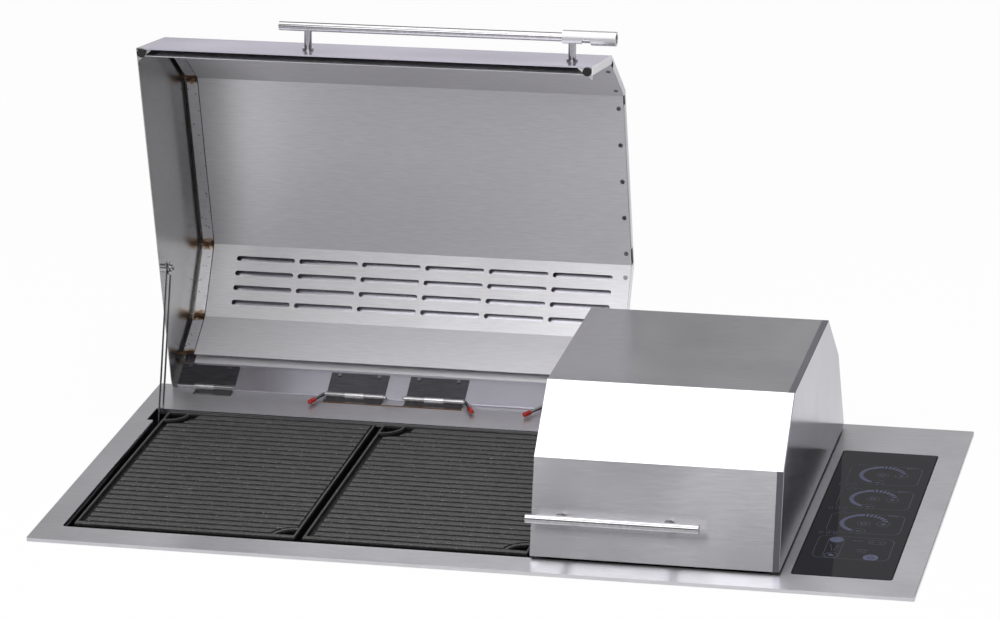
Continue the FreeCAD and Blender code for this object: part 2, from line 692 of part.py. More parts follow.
def stay_pivots():
    pivots = []
    for side, wall in ((-1, TUB_LEFT), (1, TUB_RIGHT)):
        arm = stay_plane(side)
        inner = arm[1] if side < 0 else arm[0]
        outer = arm[0] if side < 0 else arm[1]
        y, z = STAY_PIVOT
        pivots.append(fuse([rod_x(sorted((wall, inner - side * 4)), y, z, 4.0),
                            rod_x(sorted((wall, outer + side * 0.5)), y, z, 9.0),
                            washer(side, 0.5, 4.0, 8.0, STAY_PIVOT)]))
    return pivots


def stay_stud(side):
    wall = LID_LEFT + SHEET if side < 0 else LID_RIGHT - SHEET
    arm = stay_plane(side)
    outer = arm[0] if side < 0 else arm[1]
    inner = arm[1] if side < 0 else arm[0]
    y, z = STAY_STUD
    return fuse([rod_x(sorted((wall, inner - side * 5.2)), y, z, STUD_R),
                 rod_x(sorted((wall, outer + side * 0.5)), y, z, 6.0),
                 rod_x(sorted((outer + side * 0.5, outer + side * 1.7)), y, z, STUD_WASHER_R),
                 washer(side, 0.5, 1.7, STUD_WASHER_R, STAY_STUD),
                 washer(side, 1.7, 5.2, 5.5, STAY_STUD)])


# Lids

def lid_shell(x, hinges, rear_x):
    """The outer skin, doubled over at the front foot and, between hinges, at the rear foot."""
    foot = rear_foot()
    skin = sheet_along(PROFILE, 0, SHEET, x)
    hem = prism_x([along(FRONT_FOOT, FRONT_TOP, s, d) for s, d in
                   ((0.8, SHEET / 2), (HEM_H, SHEET / 2), (HEM_H, 2 * SHEET), (0.8, 2 * SHEET))],
                  grow(x, -SHEET))
    edges = [rear_x[0]]
    for centre in hinges:
        edges += grow((centre, centre), HINGE_LEN / 2 + 1)
    edges.append(rear_x[1])
    rear = [along(foot, REAR_KNEE, s, -d) for s, d in
            ((0, SHEET / 2), (REAR_HEM_H, SHEET / 2), (REAR_HEM_H, SHEET + REAR_HEM_T),
             (0, SHEET + REAR_HEM_T))]
    spans = [span for span in zip(edges[::2], edges[1::2]) if span[1] - span[0] > REAR_HEM_H]
    return fuse([skin, hem] + [prism_x(rear, span) for span in spans])


def corner_bracket(x, side):
    """The triangular plate across a front corner that holds a bumper."""
    leg_x, leg_y = BRACKET
    front, z = FRONT_FOOT[0] + 2 * SHEET + 0.6, FRONT_FOOT[1]
    points = [vec(x, front, z), vec(x - side * leg_x, front, z), vec(x, front + leg_y, z)]
    plate = Part.Face(Part.makePolygon(points + points[:1])).extrude(vec(0, 0, SHEET))
    return plate.cut(bumper_hole(bumper_x(x, side)))


def side_wall(x, side, banded):
    """A full end wall; an outer one is bent over on to the skin in a narrow band."""
    inner = offset_chain(PROFILE, SHEET)
    sill = (HINGE_Y - 9.0, FRONT_FOOT[1])
    parts = [prism_x(inner + [sill], x), corner_bracket(x[1] if side < 0 else x[0], side)]
    if banded:
        band = (x[0], x[0] + END_BAND) if side < 0 else (x[1] - END_BAND, x[1])
        parts.append(sheet_along(PROFILE, 0, SHEET, band))
    return fuse(parts)


def bumper_x(wall_face, side):
    return wall_face - side * (BUMPER_R + 0.3)


def bumper_y():
    return FRONT_FOOT[0] + 7.0


def bumper_hole(x):
    return rod_z(x, bumper_y(), (FRONT_FOOT[1] - 1, FRONT_FOOT[1] + 5), 2.5)


def bumper(x):
    y, foot = bumper_y(), FRONT_FOOT[1]
    return fuse([rod_z(x, y, (TOP_Z + 0.2, foot - 0.4), BUMPER_R),
                 rod_z(x, y, (foot - 0.4, foot + SHEET), 2.5),
                 rod_z(x, y, (foot + SHEET, foot + SHEET + 2), 3.2)])


def liner(x):
    """The inner skin, slotted over the rear slope; below it ends free over a wall and flange."""
    depth = LINER_GAP + LINER_T
    chain = PROFILE[:-1] + [LINER_END]
    skin = sheet_along(chain, LINER_GAP, depth, x)
    foot = along(FRONT_FOOT, FRONT_TOP, 4.5)
    skin = skin.cut(box(grow(x, 1), (foot[0] - 5, foot[0] + 40), (0, foot[1])))
    closing = [along(REAR_KNEE, rear_foot(), s, d) for s, d in
               ((LINER_WALL - LINER_T, LINER_GAP + 0.1), (LINER_WALL, LINER_GAP + 0.1),
                (LINER_WALL, SHEET + LINER_T), (LINER_FLANGE, SHEET + LINER_T),
                (LINER_FLANGE, SHEET), (LINER_WALL - LINER_T, SHEET))]
    skin = fuse([skin, prism_x(closing, x)])
    columns = int((x[1] - x[0] + SLOT_BRIDGE - 2 * SLOT_MARGIN) / SLOT_PITCH)
    middle = (x[0] + x[1]) / 2 + SLOT_SHIFT
    half = (SLOT_L - SLOT_H) / 2
    tools = [liner_slot(middle + SLOT_PITCH * (column - (columns - 1) / 2),
                        SLOT_FIRST + SLOT_ROW * row, half, depth)
             for column in range(columns) for row in range(SLOT_ROWS)]
    return cut(skin, tools)


def liner_slot(cx, s, half, depth):
    a, b = (along(ROOF_BACK, REAR_KNEE, s, d) for d in (LINER_GAP - 2, depth + 2))
    ends = [rod(vec(x, *a), vec(x, *b), SLOT_H / 2) for x in (cx - half, cx + half)]
    quad = [along(ROOF_BACK, REAR_KNEE, s + k * SLOT_H / 2, d) for k, d in
            ((-1, LINER_GAP - 2), (1, LINER_GAP - 2), (1, depth + 2), (-1, depth + 2))]
    return fuse([prism_x(quad, (cx - half, cx + half))] + ends)


def side_strip(x, side):
    """The angle strip beside a side wall: a face level with the liner and a leg to the skin."""
    wall = x[0] + SHEET if side < 0 else x[1] - SHEET
    near, far = wall - side * STRIP_GAP, wall - side * (STRIP_GAP + STRIP_W)
    chain = PROFILE[:-1] + [LINER_END]
    depth = LINER_GAP + LINER_T
    face = sheet_along(chain, LINER_GAP, depth, sorted((near, far)))
    leg_chain = [along(FRONT_FOOT, FRONT_TOP, HEM_H + 0.5)] + chain[1:]
    leg = sheet_along(leg_chain, SHEET, depth, sorted((near, near - side * LINER_T)))
    foot = box((-FAR, FAR), (-FAR, FAR), (-FAR, FRONT_FOOT[1] + 6))
    return fuse([face, leg]).cut(foot)


def end_frame(x):
    """The ring between skin and liner at the large lid's open end, notched at its bends."""
    chain = PROFILE[:-1] + [along(REAR_KNEE, rear_foot(), LINER_STOP + 2)]
    face = sheet_along(chain, SHEET, LINER_GAP, (x - SHEET, x))
    rear = [along(REAR_KNEE, rear_foot(), s, d) for s, d in
            ((LINER_STOP, SHEET), (128.0, SHEET), (128.0, SHEET + 5.0), (LINER_STOP, LINER_GAP))]
    roof = math.hypot(ROOF_BACK[0] - ROOF_FRONT[0], ROOF_BACK[1] - ROOF_FRONT[1])
    notches = []
    for a, b, near, far in ((FRONT_TOP, ROOF_FRONT, 5.0, 18.0), (ROOF_FRONT, ROOF_BACK, 5.0, 20.0),
                            (ROOF_FRONT, ROOF_BACK, roof - 32.0, roof - 6.0)):
        corners = ((near, 5.0), (far, 5.0), (far, LINER_GAP), (near, LINER_GAP))
        notches.append(prism_x([along(a, b, s, d) for s, d in corners],
                               (x - 2 * SHEET, x + SHEET)))
    frame = fuse([face, prism_x(rear, (x - SHEET, x))])
    return fuse([cut(frame, notches), corner_bracket(x - SHEET, 1)])


def on_front(up, out):
    return along(FRONT_FOOT, FRONT_TOP, up, -out)


def handle_bar(x):
    y, z = on_front(BAR_UP_FRONT, BAR_STANDOFF)
    return rod_x(x, y, z, BAR_R)


def handle_posts(places):
    posts = []
    for x in places:
        base, top = (vec(x, *on_front(BAR_UP_FRONT, out)) for out in (0, BAR_STANDOFF))
        collar = vec(x, *on_front(BAR_UP_FRONT, 3.0))
        post = fuse([rod(base, top, POST_R), rod(base, collar, 8.0)])
        posts.append(post.cut(handle_bar((x - 30, x + 30))))
    return posts


def post_screws(places):
    """Pan heads inside the front panel, their shanks in the posts."""
    heads = []
    for x in places:
        inner, head = (vec(x, *on_front(BAR_UP_FRONT, -d)) for d in (SHEET, SHEET + 3.5))
        heads.append(rod(inner, head, 5.0))
    return heads


def leaf_screws(centres):
    heads = []
    for centre in centres:
        for dx in LEAF_SCREWS:
            a, b = (vec(centre + dx, *along(rear_foot(), REAR_KNEE, LEAF_H - LEAF_SCREW_DOWN,
                                            -SHEET - d))
                    for d in (LEAF_T, LEAF_T + 1.6))
            heads.append(rod(a, b, 3.0))
    return heads


def liner_rivets(x):
    """Hollow low heads along the liner's edge at the open end."""
    depth = LINER_GAP + LINER_T
    rows = ((FRONT_TOP, ROOF_FRONT, 28.2, 66.8, 2), (ROOF_FRONT, ROOF_BACK, 24.8, 59.0, 5),
            (ROOF_BACK, REAR_KNEE, 24.3, 66.8, 2))
    heads = []
    for a, b, first, pitch, count in rows:
        for i in range(count):
            low, base, high = (vec(x, *along(a, b, first + pitch * i, depth + d))
                               for d in (0, 0.3, 1.0))
            heads.append(rod(low, high, 3.3).cut(rod(base, high, 1.4)))
    return heads


def sleeve():
    """The tube that slides along the long bar on to the short one, slotted past the post.
    A notch at the slot's end lets the tube be turned and held."""
    y, z = on_front(BAR_UP_FRONT, BAR_STANDOFF)
    tube = rod_x(SLEEVE_X, y, z, SLEEVE_R).cut(rod_x(grow(SLEEVE_X, 1), y, z, BAR_R + PIN_FIT))
    end = LARGE_POSTS[1] + POST_R + SLEEVE_TRAVEL + 0.6
    near, far = (on_front(BAR_UP_FRONT, BAR_STANDOFF - d) for d in (2.0, SLEEVE_R + 2.0))
    dy, dz = unit(FRONT_FOOT, FRONT_TOP)
    w = POST_R + 0.7
    quad = [(near[0] - dy * w, near[1] - dz * w), (near[0] + dy * w, near[1] + dz * w),
            (far[0] + dy * w, far[1] + dz * w), (far[0] - dy * w, far[1] - dz * w)]
    turn = math.atan2(-dy, dz) - math.radians(NOTCH_TURN)
    centre = vec(end - NOTCH_R, y, z)
    out = vec(0, math.cos(turn), math.sin(turn)) * (SLEEVE_R + 2.0)
    notch = rod(centre, centre + out, NOTCH_R)
    return cut(tube, [prism_x(quad, (SLEEVE_X[0] - 1, end)), notch])


def lid_pieces():
    large_liner_x = (LARGE_X[0] + LINER_INSET, LARGE_X[1] - SHEET - 0.2)
    small_liner_x = (SMALL_X[0] + LINER_INSET, SMALL_X[1] - LINER_INSET)
    left_wall = (LARGE_X[0], LARGE_X[0] + SHEET)
    small_walls = ((SMALL_X[0], SMALL_X[0] + SHEET), (SMALL_X[1] - SHEET, SMALL_X[1]))
    large_skin = (LARGE_X[0] + END_BAND, LARGE_X[1])
    small_skin = (SMALL_X[0], SMALL_X[1] - END_BAND)
    large = {
        "large_lid_shell": lid_shell(large_skin, HINGES_LARGE, (large_skin[0], LARGE_X[1] - 2 * SHEET)),
        "large_lid_side_wall": side_wall(left_wall, -1, True),
        "large_lid_liner": liner(large_liner_x),
        "large_lid_side_strip": side_strip(LARGE_X, -1),
        "large_lid_end_frame": end_frame(LARGE_X[1]),
        "large_lid_hinge_leaves": [lid_leaf(c) for c in HINGES_LARGE],
        "large_lid_screws": leaf_screws(HINGES_LARGE) + post_screws(LARGE_POSTS),
        "large_lid_rivets": liner_rivets(LARGE_X[1] - 8.5),
        "large_lid_bumpers": [bumper(bumper_x(left_wall[1], -1)),
                              bumper(bumper_x(LARGE_X[1] - SHEET, 1))],
        "large_lid_stay_stud": stay_stud(-1),
        "large_handle_bar": handle_bar(LARGE_BAR),
        "large_handle_posts": handle_posts(LARGE_POSTS),
        "handle_coupling_sleeve": sleeve(),
    }
    small = {
        "small_lid_shell": lid_shell(small_skin, HINGES_SMALL, (SMALL_X[0] + 2 * SHEET, small_skin[1])),
        "small_lid_side_walls": [side_wall(small_walls[0], -1, False),
                                 side_wall(small_walls[1], 1, True)],
        "small_lid_liner": liner(small_liner_x),
        "small_lid_side_strips": [side_strip(SMALL_X, side) for side in (-1, 1)],
        "small_lid_hinge_leaves": [lid_leaf(c) for c in HINGES_SMALL],
        "small_lid_screws": leaf_screws(HINGES_SMALL) + post_screws(SMALL_POSTS),
        "small_lid_bumpers": [bumper(bumper_x(small_walls[0][1], -1)),
                              bumper(bumper_x(small_walls[1][0], 1))],
        "small_lid_stay_stud": stay_stud(1),
        "small_handle_bar": handle_bar(SMALL_BAR),
        "small_handle_posts": handle_posts(SMALL_POSTS),
    }
    return large, small


def as_shape(piece):
    return Part.makeCompound(piece) if isinstance(piece, list) else piece


def all_pieces():
    pieces = {
        "top_trim_frame": top_trim_frame(),
        "flange_gasket": flange_gasket(),
        "firebox_tub": firebox_tub(),
        "control_bay": control_bay(),
        "heat_shield": heat_shield(),
        "control_glass": control_glass(),
        "touch_board": touch_board(),
        "power_board": power_board(),
        "power_relays": power_relays(),
        "terminal_block": terminal_block(),
        "cable_gland": cable_gland(),
        "mounting_clamps": mounting_clamps(),
        "clamp_screws": clamp_screws(),
        "module_rails": module_rails(),
        "element_sockets": element_sockets(),
        "temperature_probes": temperature_probes(),
        "hinge_base_leaves": [base_leaf(HINGES_LARGE[0], (2,))]
        + [base_leaf(c, (0, 2)) for c in HINGES_LARGE[1:] + HINGES_SMALL],
        "hinge_pins_plain": [plain_pin(HINGES_LARGE[0], 1)]
        + [plain_pin(c, 0) for c in HINGES_SMALL],
        "stay_pivots": stay_pivots(),
        "stay_arm_left": stay_arm(-1),
        "stay_arm_right": stay_arm(1),
    }
    for number, pull in enumerate(PULLS, start=2):
        pieces["hinge_pin_%d" % number] = pull_pin(*pull)
        pieces["pin_cap_%d" % number] = pull_cap(*pull)
    for index, place in enumerate(("left", "centre", "right")):
        pieces["grate_" + place] = grate(index)
        pieces["heating_element_" + place] = heating_element(index)
        pieces["drip_tray_" + place] = drip_tray(index)
    large, small = lid_pieces()
    for name, piece in large.items():
        pieces[name] = opened(as_shape(piece))
    pieces.update(small)
    return pieces


os.makedirs("parts", exist_ok=True)
for name, piece in all_pieces().items():
    as_shape(piece).exportStep("parts/%s.step" % name)
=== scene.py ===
import bpy
import bmesh
import json
import math
from mathutils import Matrix, Vector


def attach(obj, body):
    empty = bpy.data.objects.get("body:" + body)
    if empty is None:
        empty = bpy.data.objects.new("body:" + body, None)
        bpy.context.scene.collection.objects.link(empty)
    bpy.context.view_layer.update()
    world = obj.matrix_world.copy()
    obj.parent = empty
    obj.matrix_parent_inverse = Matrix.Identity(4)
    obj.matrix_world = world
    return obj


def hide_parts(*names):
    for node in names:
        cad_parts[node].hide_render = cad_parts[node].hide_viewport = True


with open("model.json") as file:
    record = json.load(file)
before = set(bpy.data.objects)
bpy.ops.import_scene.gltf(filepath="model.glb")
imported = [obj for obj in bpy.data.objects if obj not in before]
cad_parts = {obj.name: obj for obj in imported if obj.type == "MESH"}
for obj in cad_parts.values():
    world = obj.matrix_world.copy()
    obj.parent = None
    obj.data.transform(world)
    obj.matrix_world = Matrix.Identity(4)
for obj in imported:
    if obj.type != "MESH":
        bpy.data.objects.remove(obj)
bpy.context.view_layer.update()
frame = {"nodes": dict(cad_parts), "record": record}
nodes = frame["nodes"]
BODY_OF = {node: body for body, members in frame["record"]["behaviour"]["bodies"].items()
           for node in members}
SLOT_OF = {part["node"]: part["material_slot"] for part in frame["record"]["subparts"]}

MM = 0.001

# The camera stands in front, a little to the right, with a long lens.
CAMERA_AZIMUTH = 13.542
CAMERA_ELEVATION = 19.28
CAMERA_ROLL = -1.423
CAMERA_DISTANCE = 6.732
CAMERA_AIM = Vector((-0.18076, 1.0044, 0.005))
CAMERA_LENS = 156.68

# The hinge axis runs along X; the large lid stands open at rest.
HINGE = Vector((0, 582.2, 11.2))
OPEN_DEG = 81.4
GLASS_TOP = 5.0
# The ink starts a hair above the glass, so that the two never share a surface.
PRINT_LIFT = 0.01
PRINT_T = 0.05
GRATE_TOP = 3.0
RIB_H = 6.0

DIALS = ((501.5, 413.4), (501.5, 323.7), (502.2, 234.0))
BAND_IN, BAND_OUT = 26.5, 32.5
FINE_LINE = 0.9
SIGN_R = 9.0
SIGN_ARM = (7.5, 1.6)
TICKS = 7
TICK_START, TICK_STEP, TICK_SPAN = 19, 11, 6.0
ROUND_MARK_SIDES = 32

# The liner's bends as the lid is shut, and two planes in X where an outer skin meets a folded
# end band, whose edges stay sharp.
LINER_BENDS = ((86.3, 128.1), (168.9, 200.4), (444.0, 203.2), (526.4, 127.0), (554.4, 59.4))
SEAMS = (-571.3, 411.3)
BEAD_R = 1.3

# The white worktop, in metres: how far it reaches, the cut-out, its height and the share of its
# own white that the camera and reflections see.
WORKTOP_REACH = 6.0
CUT_OUT_X = 0.6
CUT_OUT_Y = (-0.004, 0.598)
WORKTOP_Z = -0.0006
WORKTOP_WHITE = 0.94


def linear(code):
    """A hex sRGB colour as linear RGBA."""
    def channel(v):
        return v / 12.92 if v <= 0.04045 else ((v + 0.055) / 1.055) ** 2.4
    return tuple(channel(int(code[i:i + 2], 16) / 255) for i in (1, 3, 5)) + (1.0,)


def grey(value):
    return (value, value, value, 1.0)


def add(tree, kind, inputs=None, **settings):
    """A shader node with its settings; an input is a value or another node's output."""
    made = tree.nodes.new(kind)
    for key, value in settings.items():
        setattr(made, key, value)
    for key, value in (inputs or {}).items():
        if isinstance(value, bpy.types.NodeSocket):
            tree.links.new(value, made.inputs[key])
        else:
            made.inputs[key].default_value = value
    return made


def new_material(name, **sockets):
    """A material whose shader has these sockets set, with its tree and shader."""
    material = bpy.data.materials.new(name)
    material.use_nodes = True
    shader = material.node_tree.nodes["Principled BSDF"]
    for key, value in sockets.items():
        shader.inputs[key.replace("_", " ")].default_value = value
    return material, material.node_tree, shader


def drive(tree, shader, **sources):
    for key, source in sources.items():
        tree.links.new(source, shader.inputs[key.replace("_", " ")])


def cloud(tree, spacing, detail=3.0):
    """Noise over Object coordinates, its blotches the given millimetres along each axis."""
    place = add(tree, "ShaderNodeTexCoord").outputs["Object"]
    scale = tuple(1 / (MM * s) for s in spacing)
    counted = add(tree, "ShaderNodeMapping", {"Vector": place, "Scale": scale})
    return add(tree, "ShaderNodeTexNoise", {"Vector": counted.outputs["Vector"], "Scale": 1.0,
                                            "Detail": detail}).outputs["Fac"]


def ramp(tree, factor, stops):
    made = add(tree, "ShaderNodeValToRGB", {"Fac": factor})
    points = made.color_ramp.elements
    while len(points) < len(stops):
        points.new(0.5)
    for point, (place, colour) in zip(points, stops):
        point.position = place
        point.color = colour
    return made.outputs["Color"]


def relief(tree, height, depth, strength=1.0):
    """A bump whose full height is the given millimetres."""
    return add(tree, "ShaderNodeBump", {"Strength": strength, "Distance": depth * MM,
                                        "Height": height}).outputs["Normal"]


def nearness(tree, centre, reach, flatten=(1, 1, 1)):
    """1 at a point in mm, falling to 0 at the reach; a flattened axis isn't counted."""
    place = add(tree, "ShaderNodeTexCoord").outputs["Object"]
    shift = tuple(-c * MM * f for c, f in zip(centre, flatten))
    moved = add(tree, "ShaderNodeMapping", {"Vector": place, "Location": shift, "Scale": flatten})
    far = add(tree, "ShaderNodeVectorMath", {0: moved.outputs["Vector"]}, operation="LENGTH")
    return add(tree, "ShaderNodeMapRange", {"Value": far.outputs["Value"], "From Min": 0.0,
                                            "From Max": reach * MM, "To Min": 1.0,
                                            "To Max": 0.0}).outputs["Result"]


def mixed(tree, factor, first, second, kind="MIX"):
    return add(tree, "ShaderNodeMixRGB", {0: factor, 1: first, 2: second},
               blend_type=kind).outputs["Color"]


def brushed_sheet(name, grain, across, rough, tints, wave=0.0, mirror=1.0):
    """Belt-brushed stainless sheet: reflections stay sharp along the grain and smear across
    it. Real scratches are finer than 0.1 mm and are drawn 1.4 mm wide so that they show. Wide
    sheet isn't quite flat, so a reflected edge wavers. Mirror is the share that reflects as
    metal; the rest scatters."""
    material, tree, shader = new_material(name, Metallic=mirror, Anisotropic=0.85)
    scratches = cloud(tree, grain)
    patches = cloud(tree, (180, 180, 180), 2.0)
    drive(tree, shader,
          Base_Color=ramp(tree, scratches, [(0.3, linear(tints[0])), (0.7, linear(tints[1]))]),
          Roughness=ramp(tree, patches, [(0.3, grey(rough - 0.02)), (0.7, grey(rough + 0.03))]),
          Tangent=add(tree, "ShaderNodeTangent", direction_type="RADIAL",
                      axis=across).outputs["Tangent"])
    if wave:
        drive(tree, shader, Normal=relief(tree, cloud(tree, (75, 75, 75), 1.0), wave))
    return material


ALONG_X = (22.0, 1.4, 1.4)
ALONG_Y = (1.4, 22.0, 1.4)
ALONG_Z = (1.4, 1.4, 22.0)


def turned_bar():
    """Polished stainless bar and turned parts: a near mirror with faint clouding."""
    material, tree, shader = new_material("polished_stainless_bar", Metallic=1.0)
    clouding = cloud(tree, (6, 6, 6), 4.0)
    drive(tree, shader,
          Base_Color=ramp(tree, clouding, [(0.3, linear("#9b9a9d")), (0.7, linear("#aaa9ab"))]),
          Roughness=ramp(tree, clouding, [(0.3, grey(0.06)), (0.75, grey(0.12))]))
    return material


def polished_margin():
    """Film-masked margin of the end wall, folded over and never brushed: a dark clear mirror."""
    material, tree, shader = new_material("unbrushed_stainless_margin", Metallic=1.0)
    haze = cloud(tree, (30, 30, 30), 2.0)
    drive(tree, shader,
          Base_Color=ramp(tree, haze, [(0.3, linear("#a3a3a3")), (0.7, linear("#b0b0b0"))]),
          Roughness=ramp(tree, haze, [(0.3, grey(0.16)), (0.7, grey(0.22))]))
    return material


def coating_with_edge_highlight():
    """The same coating on the rounded cast edges, painted a lighter grey in streaks: a painted
    highlight along the rib edges.
    """
    material, tree, shader = new_material("non_stick_coating_with_painted_edge_highlight", Metallic=0.3)
    edge_streaks = cloud(tree, (9, 1.5, 1.5), 3.0)
    drive(tree, shader,
          Base_Color=ramp(tree, edge_streaks, [(0.32, linear("#4c4c4c")), (0.68, linear("#838280"))]),
          Roughness=ramp(tree, edge_streaks, [(0.3, grey(0.3)), (0.7, grey(0.42))]))
    return material


def blasted_sleeve():
    """Bead-blasted stainless tube: pale, satin, with the soft speckle that beads leave."""
    material, tree, shader = new_material("bead_blasted_stainless", Metallic=1.0)
    speckle = cloud(tree, (0.9, 0.9, 0.9), 2.0)
    drive(tree, shader,
          Base_Color=ramp(tree, speckle, [(0.3, linear("#c2c2c4")), (0.7, linear("#d0d0d1"))]),
          Roughness=ramp(tree, speckle, [(0.3, grey(0.4)), (0.7, grey(0.5))]),
          Normal=relief(tree, speckle, 0.04, 0.5))
    return material


def hinge_plate():
    """Cold-rolled hinge strip, polished dark; round the barrel the base colour is painted much
    paler, a painted highlight along the knuckles.
    """
    material, tree, shader = new_material("polished_hinge_strip", Metallic=1.0)
    streaks = cloud(tree, (22, 2, 2))
    barrel = nearness(tree, HINGE, 9.0, (0, 1, 1))
    # Paler round the barrel: a painted highlight on the hinge knuckles.
    painted_highlight = ramp(tree, barrel, [(0.28, grey(0.0)), (0.4, grey(1.0))])
    plate = ramp(tree, streaks, [(0.3, linear("#66656a")), (0.7, linear("#77767a"))])
    drive(tree, shader,
          Base_Color=mixed(tree, painted_highlight, plate, linear("#c6c5c6")),
          Roughness=ramp(tree, streaks, [(0.3, grey(0.16)), (0.7, grey(0.26))]))
    return material


def coated_grate():
    """Non-stick coating sprayed on cast aluminium, rubbed grey on the rib tops in streaks
    along the ribs. Down into the grooves it is painted darker by height to near black, as painted
    shade, and pale flecks on the rib tops, drawn 1 mm wide, are painted highlights."""
    material, tree, shader = new_material("non_stick_coating", Metallic=0.15,
                                          Specular_IOR_Level=0.45)
    place = add(tree, "ShaderNodeTexCoord").outputs["Object"]
    height = add(tree, "ShaderNodeSeparateXYZ", {0: place}).outputs["Z"]
    top = add(tree, "ShaderNodeMapRange", {"Value": height, "From Min": (GRATE_TOP - RIB_H) * MM,
                                           "From Max": GRATE_TOP * MM}).outputs["Result"]
    streaks = cloud(tree, (14, 1.6, 1.6), 4.0)
    flecks = cloud(tree, (2.4, 1.0, 1.0), 1.0)
    rubbed = ramp(tree, streaks, [(0.32, linear("#333333")), (0.68, linear("#4d4d4c"))])
    # Pale flecks on the rib tops: painted highlights.
    bright = ramp(tree, flecks, [(0.63, grey(0.0)), (0.72, grey(0.55))])
    rib_tops_and_painted_glints = mixed(tree, bright, rubbed, linear("#b9b8b6"))
    # Darker down towards the grooves by height: painted shade.
    depth = ramp(tree, top, [(0.2, grey(0.0)), (0.85, grey(1.0))])
    drive(tree, shader,
          Base_Color=mixed(tree, depth, linear("#0b0b0c"), rib_tops_and_painted_glints),
          Roughness=ramp(tree, streaks, [(0.3, grey(0.36)), (0.7, grey(0.5))]),
          Normal=relief(tree, flecks, 0.12, 0.35))
    return material


def mottled(name, dark, light, size, rough, metallic=0.0, depth=0.05):
    """A finish with soft blotches of the given size in mm."""
    material, tree, shader = new_material(name, Metallic=metallic)
    blotches = cloud(tree, (size,) * 3, 5.0)
    drive(tree, shader,
          Base_Color=ramp(tree, blotches, [(0.35, linear(dark)), (0.65, linear(light))]),
          Roughness=ramp(tree, blotches, [(0.3, grey(rough - 0.06)), (0.7, grey(rough + 0.06))]),
          Normal=relief(tree, blotches, depth, 0.3))
    return material


def black_glass():
    """Toughened glass with black enamel behind it: blue-black under a clear gloss."""
    material, tree, shader = new_material("enamelled_toughened_glass", Roughness=0.05, IOR=1.42)
    depth = cloud(tree, (120, 120, 120), 2.0)
    drive(tree, shader,
          Base_Color=ramp(tree, depth, [(0.3, linear("#04040e")), (0.7, linear("#070715"))]))
    return material


def ceramic_ink(name, dark, light):
    """Screen-printed ceramic ink: matt, slightly uneven where the mesh held back."""
    material, tree, shader = new_material(name)
    weave = cloud(tree, (1.2, 1.2, 1.2), 2.0)
    drive(tree, shader,
          Base_Color=ramp(tree, weave, [(0.3, linear(dark)), (0.7, linear(light))]),
          Roughness=ramp(tree, weave, [(0.3, grey(0.5)), (0.7, grey(0.6))]))
    return material


def heat_tinted_strip():
    """Stainless strip tacked at its bends: straw and brown oxide round each tack."""
    material, tree, shader = new_material("heat_tinted_stainless", Metallic=0.6)
    scratches = cloud(tree, ALONG_X)
    wisps = cloud(tree, (7, 7, 7), 3.0)
    clean = ramp(tree, scratches, [(0.3, linear("#c6c5ca")), (0.7, linear("#d4d3d7"))])
    near = 0.0
    for bend in LINER_BENDS:
        spot = nearness(tree, opened(0.0, *bend), 15.0, (0, 1, 1))
        near = spot if near == 0.0 else add(tree, "ShaderNodeMath", {0: near, 1: spot},
                                            operation="MAXIMUM").outputs[0]
    burnt = add(tree, "ShaderNodeMath", {0: near, 1: wisps}, operation="MULTIPLY").outputs[0]
    tint = ramp(tree, burnt, [(0.16, grey(1.0)), (0.27, linear("#c4a27c")),
                              (0.4, linear("#4f3320"))])
    drive(tree, shader, Base_Color=mixed(tree, 1.0, clean, tint, "MULTIPLY"),
          Roughness=ramp(tree, wisps, [(0.3, grey(0.26)), (0.7, grey(0.4))]))
    return material


def opened(x, y, z):
    """Where a point of the shut large lid stands at rest, with the lid open."""
    turn = Matrix.Rotation(math.radians(-OPEN_DEG), 3, "X")
    return HINGE + turn @ (Vector((x, y, z)) - HINGE)
